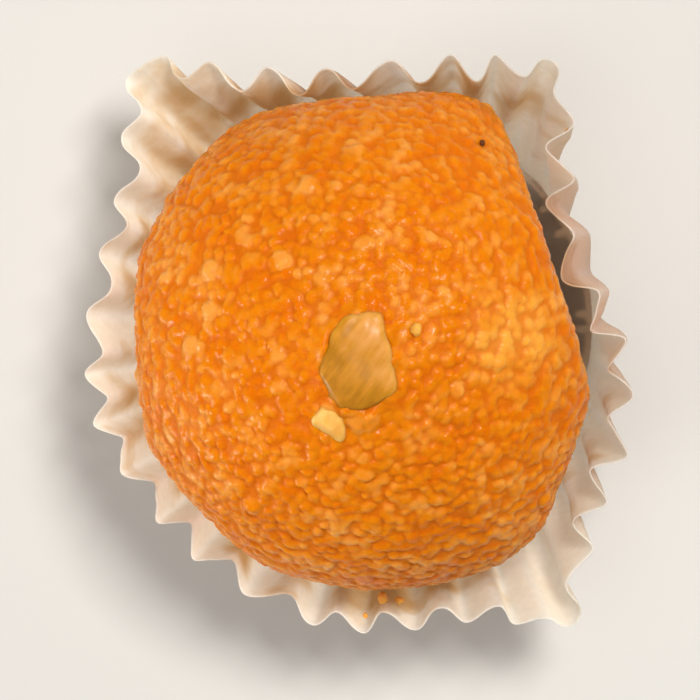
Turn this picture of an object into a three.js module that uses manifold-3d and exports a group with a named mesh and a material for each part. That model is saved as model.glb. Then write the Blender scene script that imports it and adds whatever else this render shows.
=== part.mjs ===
// A boondi ladoo in its fluted paper case.
//
// The ladoo is a ball of boondi: tiny fried gram-flour pearls, bound by syrup and rolled by hand. Grains
// cover it, each one a low crown with grooves round it. A broken piece of nut is pressed into the top, and a
// smaller chip lies beside it. The case is a round sheet of greaseproof paper. Its middle is the flat base,
// and the rest is fluted up into a wall, which leans out in three creased corners.
//
// Millimetres, +Z up. The origin is on the surface that the case stands on, below the middle of the whole.

import * as THREE from "three";
import { ConvexHull } from "three/addons/math/ConvexHull.js";
import { mergeVertices } from "three/addons/utils/BufferGeometryUtils.js";
import Module from "manifold-3d";

// ---- driving dimensions ----

const PAPER = 0.4; // thickness of the sheet, thicker than real greaseproof so that it makes a sound solid
const GAP = 0.3; // left between pieces that touch

/** Profiles of a bump against the angle from its centre: a round one, and one with a sharper tip. */
const bell = (angle, spread) => Math.exp(-((angle / spread) ** 2));
const crease = (angle, spread) => Math.exp(0.25 - Math.hypot(angle / spread, 0.25));

const BALL = { halfWidth: 21.3, halfDepth: 21.5, halfHeight: 20, restDepth: 19 };
const GRAIN_PITCH = 1.88; // from the crown of one boondi to the next
const GROOVE_DEPTH = 0.6; // of the grooves between grains
const FLAT_BLEND = 0.4; // how softly a pressed flat runs into the round of the ball

// Where the ball is pressed flat: by the palm and the case round its sides, and by its weight underneath.
const FLATS = [
  { azimuth: 18, elevation: -8, distance: 16.7 },
  { azimuth: 96, elevation: -5, distance: 20.6 },
  { azimuth: 150, elevation: -2, distance: 20.3 },
  { azimuth: 182, elevation: 3, distance: 19.2 },
  { azimuth: 222, elevation: 0, distance: 20 },
  { azimuth: 342, elevation: -7, distance: 19.5 },
  { azimuth: 0, elevation: -90, distance: BALL.restDepth },
];

// Bulges and hollows that the fingers left: height above the plain ellipsoid, and spread in degrees.
const LUMPS = [
  { azimuth: 305, elevation: 3, height: 1.1, spread: 22 },
  { azimuth: 66, elevation: 3, height: 1.2, spread: 13 },
  { azimuth: 215, elevation: 48, height: 0.4, spread: 20 },
  { azimuth: 335, elevation: 55, height: -0.4, spread: 18 },
];

const NUT = {
  x: 1.7, // from the ball's centre
  y: -0.5,
  proud: 0.8, // how far its top stands out of the ball
  depth: 4.4,
  edge: 0.7, // rounding of its broken edges
  outline: [[-1.2, 3.8], [1.9, 4.1], [2.9, -1.7], [1, -3.9], [-1.5, -3.6], [-3.2, -1], [-2.4, 1.9]],
};
const CHIP = { x: -0.8, y: -5.8, length: 2.6, width: 2, proud: 0.5 };

const CASE = {
  baseRadius: 18,
  wallLength: 20.6, // of paper, from the base's edge to the rim
  flutes: 34,
  rimRadius: 23, // of the rim's middle line, where nothing bends it
  belly: 0.6, // how far the wall bulges out of the straight line from base to rim
  uneven: 0.22, // the share of its depth that a flute may lack
};

// Where the rim leans out in creased corners, bulges or is pushed in: its reach beyond rimRadius, its spread
// in degrees, and the wall's belly there.
const RIM_BENDS = [
  { profile: crease, azimuth: 131, reach: 8, spread: 9, belly: -1.2 },
  { profile: crease, azimuth: 55, reach: 6, spread: 10, belly: -0.4 },
  { profile: crease, azimuth: 305, reach: 7, spread: 9, belly: -0.8 },
  { profile: bell, azimuth: 23, reach: -4.7, spread: 25, belly: 1.2 },
  { profile: bell, azimuth: 98, reach: -1.1, spread: 17, belly: 0.8 },
  { profile: bell, azimuth: 196, reach: 0.9, spread: 22, belly: 0.6 },
  { profile: bell, azimuth: 266, reach: 1.6, spread: 26, belly: 0.6 },
];

// ---- small helpers ----

const Z_AXIS = new THREE.Vector3(0, 0, 1);
const wasm = await Module();
wasm.setup();

/** A repeatable stream of random numbers from 0 to 1. */
function randomStream(seed) {
  let state = seed;
  return () => {
    state = (state + 0x6d2b79f5) | 0;
    let mixed = Math.imul(state ^ (state >>> 15), 1 | state);
    mixed = (mixed + Math.imul(mixed ^ (mixed >>> 7), 61 | mixed)) ^ mixed;
    return ((mixed ^ (mixed >>> 14)) >>> 0) / 2 ** 32;
  };
}

/** The unit vector at an azimuth from +X and an elevation above the horizon, in degrees. */
function direction({ azimuth, elevation }) {
  const turn = THREE.MathUtils.degToRad(azimuth);
  const rise = THREE.MathUtils.degToRad(elevation);
  const level = Math.cos(rise);
  return new THREE.Vector3(level * Math.cos(turn), level * Math.sin(turn), Math.sin(rise));
}

/** A closed geometry as a manifold-3d solid. */
function solidOf(geometry) {
  const bare = geometry.clone();
  bare.deleteAttribute("normal");
  bare.deleteAttribute("uv");
  const merged = mergeVertices(bare, 1e-4);
  return new wasm.Manifold(
    new wasm.Mesh({
      numProp: 3,
      vertProperties: merged.attributes.position.array,
      triVerts: new Uint32Array(merged.index.array),
    }),
  );
}

/** A manifold-3d solid as a geometry. */
function geometryOf(solid) {
  const mesh = solid.getMesh();
  return new THREE.BufferGeometry()
    .setAttribute("position", new THREE.BufferAttribute(mesh.vertProperties, 3))
    .setIndex(new THREE.BufferAttribute(mesh.triVerts, 1));
}

// ---- the ball of boondi ----

const ballCentre = new THREE.Vector3(0, 0, PAPER + GAP + BALL.restDepth);
const flats = FLATS.map((flat) => ({ normal: direction(flat), distance: flat.distance }));
const lumps = LUMPS.map((lump) => ({ ...lump, towards: direction(lump) }));

/** The smaller of two distances, with a soft change from one to the other. */
function softMin(a, b) {
  return -FLAT_BLEND * Math.log(Math.exp(-a / FLAT_BLEND) + Math.exp(-b / FLAT_BLEND));
}

/** Distance from the ball's centre to the crowns of its grains, in a direction. */
function crownRadius(towards) {
  const { halfWidth, halfDepth, halfHeight } = BALL;
  const ellipsoid = 1 / Math.hypot(towards.x / halfWidth, towards.y / halfDepth, towards.z / halfHeight);
  const raised = lumps.reduce((sum, lump) => {
    const apart = THREE.MathUtils.radToDeg(lump.towards.angleTo(towards));
    return sum + lump.height * bell(apart, lump.spread);
  }, ellipsoid);
  return flats.reduce((radius, { normal, distance }) => {
    const facing = normal.dot(towards);
    return facing < 0.2 ? radius : softMin(radius, distance / facing);
  }, raised);
}

/** Directions to the grains' crowns: an even spiral over the ball, each grain then nudged at random. */
function grainDirections() {
  const meanRadius = (BALL.halfWidth + BALL.halfDepth + BALL.halfHeight) / 3;
  const count = Math.round((8 * Math.PI * meanRadius ** 2) / (Math.sqrt(3) * GRAIN_PITCH ** 2));
  const goldenAngle = Math.PI * (3 - Math.sqrt(5));
  const nudge = (0.5 * GRAIN_PITCH) / meanRadius;
  const random = randomStream(7);
  return Array.from({ length: count }, (_, i) => {
    const height = 1 - (2 * i + 1) / count;
    const radius = Math.sqrt(1 - height * height);
    return new THREE.Vector3(
      radius * Math.cos(i * goldenAngle) + nudge * (random() - 0.5),
      radius * Math.sin(i * goldenAngle) + nudge * (random() - 0.5),
      height + nudge * (random() - 0.5),
    ).normalize();
  });
}

/** The ball's skin: a crown on each grain, ringed by the points where three grains meet, at groove depth. */
function grainySkin() {
  const crowns = grainDirections();
  const hull = new ConvexHull().setFromPoints(crowns);
  const points = [];
  const place = (towards, depth) => {
    points.push(towards.clone().multiplyScalar(crownRadius(towards) - depth));
    return points.length - 1;
  };
  const crownIndex = new Map(crowns.map((crown) => [crown, place(crown, 0)]));
  const grooveIndex = new Map(
    hull.faces.map((face) => [face, place(face.midpoint.clone().normalize(), GROOVE_DEPTH)]),
  );
  const indices = [];
  for (const face of hull.faces) {
    for (let corner = 0; corner < 3; corner++) {
      const edge = face.getEdge(corner);
      const crown = crownIndex.get(edge.tail().point);
      indices.push(crown, grooveIndex.get(edge.twin.face), grooveIndex.get(face));
    }
  }
  return new THREE.BufferGeometry().setFromPoints(points).setIndex(indices);
}

// ---- nuts ----

/** A broken nut: its outline with rounded edges, grown all round, its top at Z = 0 when not grown. */
function nutGeometry(grown) {
  const { outline, edge, depth } = NUT;
  const shape = new THREE.Shape(outline.map(([x, y]) => new THREE.Vector2(x, y)));
  return new THREE.ExtrudeGeometry(shape, {
    depth: depth - 2 * edge,
    bevelThickness: edge + grown,
    bevelSize: edge + grown,
    bevelOffset: -edge,
    bevelSegments: 2,
  }).translate(0, 0, edge - depth);
}

/** Moves something made at the origin, with +Z out of the ball, to a place on the ball's skin. */
function onSkin(x, y, proud) {
  const towards = new THREE.Vector3(x, y, Math.sqrt(BALL.halfHeight ** 2 - x * x - y * y)).normalize();
  const place = towards.clone().multiplyScalar(crownRadius(towards) + proud);
  const turn = new THREE.Quaternion().setFromUnitVectors(Z_AXIS, towards);
  return new THREE.Matrix4().compose(place, turn, new THREE.Vector3(1, 1, 1));
}

function chipGeometry() {
  const { x, y, length, width, proud } = CHIP;
  return new THREE.IcosahedronGeometry(0.5, 0)
    .scale(length, width, width)
    .rotateZ(0.5)
    .applyMatrix4(onSkin(x, y, proud - width / 2));
}

// ---- the paper case ----

const WAVE = [1, 0, -1, 0]; // the columns of a flute: crest, flank, trough, flank

/** How far out the rim's middle line stands at an azimuth in degrees, and the belly of the wall under it. */
function rimAt(azimuth) {
  const rim = { radius: CASE.rimRadius, belly: CASE.belly };
  for (const bend of RIM_BENDS) {
    const apart = THREE.MathUtils.euclideanModulo(azimuth - bend.azimuth + 180, 360) - 180;
    const share = bend.profile(apart, bend.spread);
    rim.radius += bend.reach * share;
    rim.belly += (bend.belly - CASE.belly) * share;
  }
  return rim;
}

/** The rim's middle line seen from above, as a closed curve. */
function rimOutline() {
  const points = Array.from({ length: 180 }, (_, i) =>
    direction({ azimuth: 2 * i, elevation: 0 }).multiplyScalar(rimAt(2 * i).radius),
  );
  const outline = new THREE.CatmullRomCurve3(points, true);
  outline.arcLengthDivisions = 1440;
  return outline;
}

const rim = rimOutline();

/** A point of the wall before it is fluted, at a turn from 0 to 1 round the case and so far up the paper. */
function smoothWall(turn, along) {
  const foot = direction({ azimuth: 360 * turn, elevation: 0 }).multiplyScalar(CASE.baseRadius);
  const top = rim.getPointAt(THREE.MathUtils.euclideanModulo(turn, 1));
  const outwards = top.clone().normalize();
  const { belly } = rimAt(THREE.MathUtils.radToDeg(Math.atan2(top.y, top.x)));
  top.z = Math.sqrt(CASE.wallLength ** 2 - top.distanceToSquared(foot));
  const share = along / CASE.wallLength;
  return foot.lerp(top, share).addScaledVector(outwards, 4 * belly * share * (1 - share));
}

/** A point of the fluted wall: the flutes take up the paper that a smooth wall has no room for. */
function flutedWall(turn, along, wave) {
  const step = 1 / CASE.flutes / WAVE.length;
  const across = smoothWall(turn + step / 2, along).sub(smoothWall(turn - step / 2, along));
  const upwards = smoothWall(turn, along + PAPER).sub(smoothWall(turn, along - PAPER));
  const outwards = across.clone().cross(upwards).normalize();
  const paper = 2 * Math.PI * (CASE.baseRadius + along) * step;
  const depth = Math.sqrt(Math.max(0, paper ** 2 - across.lengthSq()));
  return smoothWall(turn, along).addScaledVector(outwards, depth * wave);
}

/** The case's rings of points, from the edge of its base out to the rim. */
function caseRings() {
  const columns = CASE.flutes * WAVE.length;
  const random = randomStream(11);
  const strength = Array.from({ length: CASE.flutes }, () => 1 - CASE.uneven * random());
  const ring = (pointAt) =>
    Array.from({ length: columns }, (_, i) =>
      pointAt(i / columns, WAVE[i % WAVE.length] * strength[Math.floor(i / WAVE.length)]),
    );
  const innerBase = (CASE.baseRadius - 3 * PAPER) / CASE.baseRadius;
  return [
    ring((turn) => smoothWall(turn, 0).multiplyScalar(innerBase)),
    ring((turn) => smoothWall(turn, 0)),
    ...[0.3, 0.65, 1].map((share) => ring((turn, wave) => flutedWall(turn, share * CASE.wallLength, wave))),
  ];
}

/** The sheet as a closed shell: the same triangles on both faces, and a strip round the rim. */
function caseGeometry() {
  const rings = caseRings();
  const rimRing = rings.length - 1;
  const columns = rings[0].length;
  const points = [new THREE.Vector3(), ...rings.flat()];
  const at = (ring, column) => 1 + ring * columns + (column % columns);
  const face = [];
  for (let column = 0; column < columns; column++) {
    face.push(0, at(0, column), at(0, column + 1));
    for (let ring = 0; ring < rimRing; ring++) {
      face.push(at(ring, column), at(ring + 1, column), at(ring + 1, column + 1));
      face.push(at(ring, column), at(ring + 1, column + 1), at(ring, column + 1));
    }
  }
  const sheet = new THREE.BufferGeometry().setFromPoints(points).setIndex(face);
  sheet.computeVertexNormals(); // they point into the case
  const normal = (i) => new THREE.Vector3().fromBufferAttribute(sheet.attributes.normal, i);
  const inner = points.map((point, i) => point.clone().addScaledVector(normal(i), PAPER / 2));
  const outer = points.map((point, i) => point.clone().addScaledVector(normal(i), -PAPER / 2));
  const reversed = face.map((_, i) => face[3 * Math.floor(i / 3) + (2 - (i % 3))] + points.length);
  const strip = [];
  for (let column = 0; column < columns; column++) {
    const [near, next] = [at(rimRing, column), at(rimRing, column + 1)];
    strip.push(near, near + points.length, next + points.length);
    strip.push(near, next + points.length, next);
  }
  return new THREE.BufferGeometry()
    .setFromPoints([...inner, ...outer])
    .setIndex([...face, ...reversed, ...strip]);
}

// ---- the finished parts ----

function ladooMesh() {
  const nutRoom = nutGeometry(GAP).applyMatrix4(onSkin(NUT.x, NUT.y, NUT.proud));
  const ball = solidOf(grainySkin()).subtract(solidOf(nutRoom)).add(solidOf(chipGeometry()));
  const boondi = new THREE.MeshStandardMaterial({ color: 0xe8801e, roughness: 0.45, metalness: 0 });
  const mesh = new THREE.Mesh(geometryOf(ball), boondi);
  mesh.name = "ladoo";
  return mesh;
}

function nutMesh() {
  const nut = new THREE.MeshStandardMaterial({ color: 0xd8a44a, roughness: 0.5, metalness: 0 });
  const mesh = new THREE.Mesh(nutGeometry(0), nut);
  mesh.applyMatrix4(onSkin(NUT.x, NUT.y, NUT.proud));
  mesh.name = "nut_piece";
  return mesh;
}

function caseMesh() {
  const paper = new THREE.MeshStandardMaterial({ color: 0xeaddc8, roughness: 0.8, metalness: 0 });
  const mesh = new THREE.Mesh(caseGeometry(), paper);
  mesh.position.z = PAPER / 2;
  mesh.name = "paper_case";
  return mesh;
}

const sweet = new THREE.Group();
sweet.position.copy(ballCentre);
sweet.add(ladooMesh(), nutMesh());

const part = new THREE.Group();
part.add(sweet, caseMesh());
const middle = new THREE.Box3().setFromObject(part, true).getCenter(new THREE.Vector3());
part.position.set(-middle.x, -middle.y, 0);

export default part;
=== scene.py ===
"""The looks of a boondi ladoo in its fluted paper case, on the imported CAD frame.

Sizes are in millimetres and angles in degrees, unless a name says otherwise. Meshes are written in metres,
in the frame of the CAD: the origin is on the surface that the case stands on, and +Z is up.
"""

from __future__ import annotations

import logging
import math
from collections.abc import Callable
from dataclasses import dataclass, field
from enum import Enum
from typing import Any

import bpy
import numpy as np
from mathutils import Matrix, Vector, kdtree, noise

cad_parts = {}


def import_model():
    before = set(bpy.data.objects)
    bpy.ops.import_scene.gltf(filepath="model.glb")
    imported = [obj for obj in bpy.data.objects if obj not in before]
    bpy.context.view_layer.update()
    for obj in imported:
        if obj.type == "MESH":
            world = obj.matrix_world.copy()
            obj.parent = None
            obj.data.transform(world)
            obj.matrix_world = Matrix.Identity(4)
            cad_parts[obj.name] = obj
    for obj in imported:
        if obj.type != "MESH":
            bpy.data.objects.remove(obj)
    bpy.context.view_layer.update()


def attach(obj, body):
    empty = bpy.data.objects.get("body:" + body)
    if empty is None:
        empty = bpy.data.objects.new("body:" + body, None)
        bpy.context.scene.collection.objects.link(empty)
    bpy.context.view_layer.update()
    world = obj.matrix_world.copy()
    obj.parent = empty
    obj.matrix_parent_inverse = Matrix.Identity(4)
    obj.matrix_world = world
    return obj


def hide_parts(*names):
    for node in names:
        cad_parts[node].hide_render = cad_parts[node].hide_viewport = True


LOG = logging.getLogger("ladoo")
MM = 0.001

# Places from the CAD: the middle of the case's base, and the ball's centre above it.
CASE_AXIS = np.array([0.915, 0.743, 0.0])
BALL_CENTRE = CASE_AXIS + np.array([0.0, 0.0, 19.7])

# The ball's rough radius, which turns a direction into a place where a random pattern has its true pitch.
BALL_RADIUS = 20.0

# Farther than anything on the ladoo is from anything else.
FAR = 99.0

Array = np.ndarray
Socket = bpy.types.NodeSocket


# ---- small helpers ----


def direction(azimuth: float, elevation: float = 0.0) -> Array:
    """Gives the unit vector of a direction.

    Args:
        azimuth: degrees round from +X.
        elevation: degrees above the horizon.

    Returns:
        The vector, as three numbers.
    """
    turn, rise = math.radians(azimuth), math.radians(elevation)
    level = math.cos(rise)
    return np.array([level * math.cos(turn), level * math.sin(turn), math.sin(rise)])


def unit(vectors: Array) -> Array:
    """Gives each row of an array the length 1."""
    return vectors / np.linalg.norm(vectors, axis=-1, keepdims=True)


def level_directions(angle: Array) -> Array:
    """Gives the level unit vector of each angle.

    Args:
        angle: in radians round from +X.

    Returns:
        A row of three numbers for each angle.
    """
    return np.stack([np.cos(angle), np.sin(angle), 0 * angle], axis=1)


def ripple(points: Array, pitch: float, seed: float = 0.0) -> Array:
    """Gives a smooth random value from about -1 to 1 at each point.

    Args:
        points: a row for each point, in millimetres.
        pitch: how far apart the highs are.
        seed: shifts the pattern.

    Returns:
        A value for each point.
    """
    shifted = points / pitch + seed
    return np.array([noise.noise(Vector(point)) for point in shifted])


def linear(colour: str) -> tuple[float, float, float, float]:
    """Turns an sRGB colour into the linear one that shaders use.

    Args:
        colour: as "#RRGGBB".

    Returns:
        Linear red, green and blue, and an alpha of 1.
    """
    shares = [int(colour[start : start + 2], 16) / 255 for start in (1, 3, 5)]
    red, green, blue = (s / 12.92 if s <= 0.04045 else ((s + 0.055) / 1.055) ** 2.4 for s in shares)
    return (red, green, blue, 1.0)


def add_node(
    tree: bpy.types.NodeTree,
    kind: str,
    inputs: dict[str | int, Any] | None = None,
    output: str | int = 0,
    **settings: Any,
) -> Socket | None:
    """Adds a shader node with its settings and links.

    Args:
        tree: the material's node tree.
        kind: the node's type, without "ShaderNode" in front.
        inputs: by name or number, a value or another node's output for each input.
        output: which of its outputs is wanted.
        settings: the node's own properties. A colour ramp's stops are pairs of a place and a colour or grey.

    Returns:
        The wanted output, or nothing for the node that ends the tree.
    """
    node = tree.nodes.new(f"ShaderNode{kind}")
    stops = settings.pop("stops", [])
    for name, value in settings.items():
        setattr(node, name, value)
    for _ in stops[2:]:
        node.color_ramp.elements.new(0.5)
    for number, (position, colour) in enumerate(stops):
        element = node.color_ramp.elements[number]
        element.position = position
        element.color = linear(colour) if isinstance(colour, str) else (colour, colour, colour, 1.0)
    for name, value in (inputs or {}).items():
        if isinstance(value, Socket):
            tree.links.new(value, node.inputs[name])
        else:
            node.inputs[name].default_value = linear(value) if isinstance(value, str) else value
    return node.outputs[output] if len(node.outputs) else None


def attributes(tree: bpy.types.NodeTree, *names: str) -> list[Socket]:
    """Reads values that were kept for each point of a mesh.

    Args:
        tree: the material's node tree.
        names: what the values were kept as.

    Returns:
        An output for each.
    """
    return [add_node(tree, "Attribute", output="Fac", attribute_name=name) for name in names]


def new_material(name: str) -> tuple[bpy.types.Material, bpy.types.NodeTree]:
    """Makes an empty material.

    Args:
        name: the real material's name.

    Returns:
        The material and its node tree.
    """
    material = bpy.data.materials.new(name)
    material.use_nodes = True
    material.node_tree.nodes.clear()
    return material, material.node_tree


def add_primitive(primitive: Callable[..., Any], **sizes: Any) -> bpy.types.Object:
    """Adds a primitive with nothing else selected.

    Args:
        primitive: the operator that adds it.
        sizes: the operator's settings.

    Returns:
        The new object, which is active.
    """
    bpy.ops.object.select_all(action="DESELECT")
    primitive(**sizes)
    return bpy.context.object


def apply_modifier(piece: bpy.types.Object, kind: str, **settings: Any) -> None:
    """Adds a modifier and applies it.

    Args:
        piece: the object.
        kind: the modifier's type.
        settings: the modifier's properties.
    """
    bpy.context.view_layer.objects.active = piece
    modifier = piece.modifiers.new(kind.title(), kind)
    for name, value in settings.items():
        setattr(modifier, name, value)
    bpy.ops.object.modifier_apply(modifier=modifier.name)


def points_of(piece: bpy.types.Object) -> Array:
    """Reads a mesh's points.

    Args:
        piece: the object.

    Returns:
        A row for each point, in millimetres.
    """
    flat = np.empty(3 * len(piece.data.vertices))
    piece.data.vertices.foreach_get("co", flat)
    return flat.reshape(-1, 3) / MM


def move_points(piece: bpy.types.Object, points: Array) -> None:
    """Puts a mesh's points in new places.

    Args:
        piece: the object.
        points: a row for each point, in millimetres.
    """
    piece.data.vertices.foreach_set("co", (points * MM).ravel())
    piece.data.update()


def keep_values(piece: bpy.types.Object, name: str, values: Array) -> None:
    """Keeps a number for each point, for the material to read.

    Args:
        piece: the object.
        name: what the material calls it.
        values: one for each point.
    """
    attribute = piece.data.attributes.new(name, "FLOAT", "POINT")
    attribute.data.foreach_set("value", values.astype(np.float32))


def finish_piece(
    piece: bpy.types.Object, name: str, material: bpy.types.Material, crisp: float = 180.0
) -> None:
    """Names a piece, smooths its shading and gives it its material.

    Args:
        piece: the modelled piece.
        name: its name.
        material: its material.
        crisp: edges sharper than this angle stay crisp.
    """
    piece.name = name
    piece.data.name = name
    piece.data.materials.clear()
    piece.data.materials.append(material)
    bpy.ops.object.select_all(action="DESELECT")
    piece.select_set(True)
    bpy.context.view_layer.objects.active = piece
    bpy.ops.object.shade_smooth_by_angle(angle=math.radians(crisp))


def joined(pieces: list[bpy.types.Object]) -> bpy.types.Object:
    """Joins pieces into the first one.

    Args:
        pieces: objects with a mesh of their own each.

    Returns:
        The first one, with all the meshes in it.
    """
    bpy.ops.object.select_all(action="DESELECT")
    for piece in pieces:
        piece.select_set(True)
    bpy.context.view_layer.objects.active = pieces[0]
    bpy.ops.object.join()
    return pieces[0]


# ---- finishes ----


@dataclass(frozen=True)
class SyrupyBoondi:
    """Gram-flour pearls, fried in ghee and soaked in saffron-coloured syrup.

    The crumb lets light a millimetre or so in, and the deeper, darker orange in the gaps between pearls is
    painted shade.
    The syrup leaves a thin glaze, with a small soft glint on each pearl.
    """

    # Painted shade: the darker orange of the gaps between pearls.
    gap_shade: str = "#D06400"
    dark_pearl: str = "#D46F00"
    pearl: str = "#D87E05"
    light_pearl: str = "#E1963D"
    pale_pearl: str = "#EEB24A"
    light_reach: float = 0.9

    def material(self, name: str) -> bpy.types.Material:
        """Builds the material.

        Args:
            name: which boondi it is.

        Returns:
            It reads the attributes tone, gap_shade and pale.
        """
        material, tree = new_material(name)
        tone, gap_shade, pale = attributes(tree, "tone", "gap_shade", "pale")
        where = add_node(tree, "TexCoord", output="Object")
        # Patches 3 mm across, where more or less syrup soaked in.
        soak = add_node(tree, "TexNoise", {"Vector": where, "Scale": 330.0, "Detail": 2.0})
        # Pores 0.25 mm across in the fried skin.
        pores = add_node(tree, "TexNoise", {"Vector": where, "Scale": 4000.0, "Detail": 3.0})
        # Crumbs 0.5 mm across, of pearls that broke when the ball was rolled.
        crumbs = add_node(tree, "TexVoronoi", {"Vector": where, "Scale": 1900.0})
        # The patches lie about a middle of 0.5, so what is taken away again leaves the tone its own middle.
        mixed = add_node(tree, "Math", {0: soak, 1: 1.6, 2: tone}, operation="MULTIPLY_ADD")
        shade = add_node(tree, "Math", {0: mixed, 1: 0.5 * 1.6}, operation="SUBTRACT")
        stops = [(0.1, self.dark_pearl), (0.5, self.pearl), (0.95, self.light_pearl)]
        pearl = add_node(tree, "ValToRGB", {0: shade}, stops=stops)
        paler = add_node(tree, "Mix", {0: pale, 6: pearl, 7: self.pale_pearl}, output=2, data_type="RGBA")
        # Painted shade: the deeper a point lies in a gap, the more its colour goes over to the darker orange
        # of gap_shade.
        depth = add_node(tree, "ValToRGB", {0: gap_shade}, stops=[(0.3, 0.0), (0.9, 0.56)])
        colour = add_node(tree, "Mix", {0: depth, 6: paler, 7: self.gap_shade}, output=2, data_type="RGBA")
        glazed = add_node(tree, "ValToRGB", {0: pores}, stops=[(0.3, 0.08), (0.7, 0.26)])
        roughness = add_node(tree, "Mix", {0: depth, 2: glazed, 3: 0.9}, data_type="FLOAT")
        crumbly = {"Height": crumbs, "Strength": 0.4, "Distance": 0.14 * MM}
        grainy = add_node(tree, "Bump", crumbly, invert=True)
        porous = {"Height": pores, "Strength": 0.4, "Distance": 0.08 * MM, "Normal": grainy}
        bump = add_node(tree, "Bump", porous)
        shader = add_node(
            tree,
            "BsdfPrincipled",
            {
                "Base Color": colour,
                "Roughness": roughness,
                "IOR": 1.42,
                "Specular IOR Level": 0.14,
                "Subsurface Weight": 0.75,
                "Subsurface Radius": (1.0, 0.6, 0.25),
                "Subsurface Scale": self.light_reach * MM,
                "Normal": bump,
            },
        )
        add_node(tree, "OutputMaterial", {"Surface": shader})
        return material


@dataclass(frozen=True)
class SyrupSoakedNut:
    """Cashew boiled in syrup until it is half clear.

    Light goes deep into it, so it looks ochre and waxy. It has fine streaks along the nut and paler patches,
    and on the larger piece one end is painted paler as a painted highlight and the other darker as painted
    shade.
    """

    deep: str
    flesh: str
    pale_and_highlit: str

    def material(self, name: str) -> bpy.types.Material:
        """Builds the material.

        Args:
            name: which nut it is.

        Returns:
            It reads Object coordinates and the attribute painted_light, which paints a highlight and shade.
        """
        material, tree = new_material(name)
        where = add_node(tree, "TexCoord", output="Object")
        # Streaks 0.5 mm apart and 3 mm long, slanting across the piece as it lies.
        lie = {"Vector": where, "Rotation": (0, 0, -0.6), "Scale": (0.5 * MM, 3.0 * MM, 0.7 * MM)}
        along = add_node(tree, "Mapping", lie, vector_type="TEXTURE")
        streak = add_node(tree, "TexNoise", {"Vector": along, "Scale": 1.0, "Detail": 3.0})
        cloud = add_node(tree, "TexNoise", {"Vector": where, "Scale": 450.0, "Detail": 2.0})
        both = add_node(tree, "Math", {0: streak, 1: cloud}, operation="ADD")
        half = add_node(tree, "Math", {0: both, 1: 0.5}, operation="MULTIPLY")
        # Painted light: the end towards the light is painted paler and the other end darker.
        (painted_light,) = attributes(tree, "painted_light")
        worn = add_node(tree, "Math", {0: painted_light, 1: 0.2, 2: half}, operation="MULTIPLY_ADD")
        stops = [(0.32, self.deep), (0.5, self.flesh), (0.72, self.pale_and_highlit)]
        colour = add_node(tree, "ValToRGB", {0: worn}, stops=stops)
        roughness = add_node(tree, "ValToRGB", {0: cloud}, stops=[(0.3, 0.42), (0.7, 0.58)])
        bump = add_node(tree, "Bump", {"Height": streak, "Strength": 0.35, "Distance": 0.12 * MM})
        shader = add_node(
            tree,
            "BsdfPrincipled",
            {
                "Base Color": colour,
                "Roughness": roughness,
                "IOR": 1.45,
                "Specular IOR Level": 0.3,
                "Subsurface Weight": 0.6,
                "Subsurface Radius": (1.0, 0.7, 0.3),
                "Subsurface Scale": 2.0 * MM,
                "Coat Weight": 0.1,
                "Coat Roughness": 0.25,
                "Normal": bump,
            },
        )
        add_node(tree, "OutputMaterial", {"Surface": shader})
        return material


@dataclass(frozen=True)
class GreaseproofPaper:
    """Cream greaseproof paper, pressed into flutes between hot dies.

    It is dull and thin enough to let light through, and its fibres mottle it. Its pressed creases and its
    cut edge are lighter. Where ghee has soaked in, it is darker and yellower, and the same colour is painted
    shade near the ball and in a creased corner.
    """

    sheet: str = "#FFF9EE"
    creased: str = "#FFFCF5"
    # The darker yellow of ghee, which is also painted shade near the ball and in a creased corner.
    greased_and_shaded: str = "#DDB97A"

    def material(self) -> bpy.types.Material:
        """Builds the material.

        Returns:
            It reads the attributes crease and grease_and_shade.
        """
        material, tree = new_material("cream_greaseproof_paper")
        crease, grease_and_shade = attributes(tree, "crease", "grease_and_shade")
        where = add_node(tree, "TexCoord", output="Object")
        # Clumps of fibre 0.6 mm across: the real ones are finer, but wouldn't show.
        fibre = add_node(tree, "TexNoise", {"Vector": where, "Scale": 1600.0, "Detail": 4.0})
        # Blots of ghee 4 mm across.
        blot = add_node(tree, "TexNoise", {"Vector": where, "Scale": 250.0, "Detail": 3.0})
        # Painted shade: ghee, and the shade near the ball and in a creased corner, turn the paper the darker
        # yellow.
        reach = add_node(tree, "Math", {0: grease_and_shade, 1: blot}, operation="ADD")
        soaked = add_node(tree, "ValToRGB", {0: reach}, stops=[(0.62, 0.0), (1.0, 0.7)])
        dry = add_node(tree, "Mix", {0: crease, 6: self.sheet, 7: self.creased}, output=2, data_type="RGBA")
        mottle = add_node(tree, "ValToRGB", {0: fibre}, stops=[(0.3, 0.94), (0.7, 1.0)])
        fibrous = add_node(
            tree, "Mix", {0: 1.0, 6: dry, 7: mottle}, output=2, data_type="RGBA", blend_type="MULTIPLY"
        )
        colour = add_node(tree, "Mix", {0: soaked, 6: fibrous, 7: self.greased_and_shaded}, output=2, data_type="RGBA")
        bump = add_node(tree, "Bump", {"Height": fibre, "Strength": 0.3, "Distance": 0.05 * MM})
        face = add_node(tree, "BsdfPrincipled", {"Base Color": colour, "Roughness": 0.65, "Normal": bump})
        behind = add_node(tree, "BsdfTranslucent", {"Color": colour, "Normal": bump})
        both = add_node(tree, "MixShader", {0: 0.72, 1: face, 2: behind})
        add_node(tree, "OutputMaterial", {"Surface": both})
        return material


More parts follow.
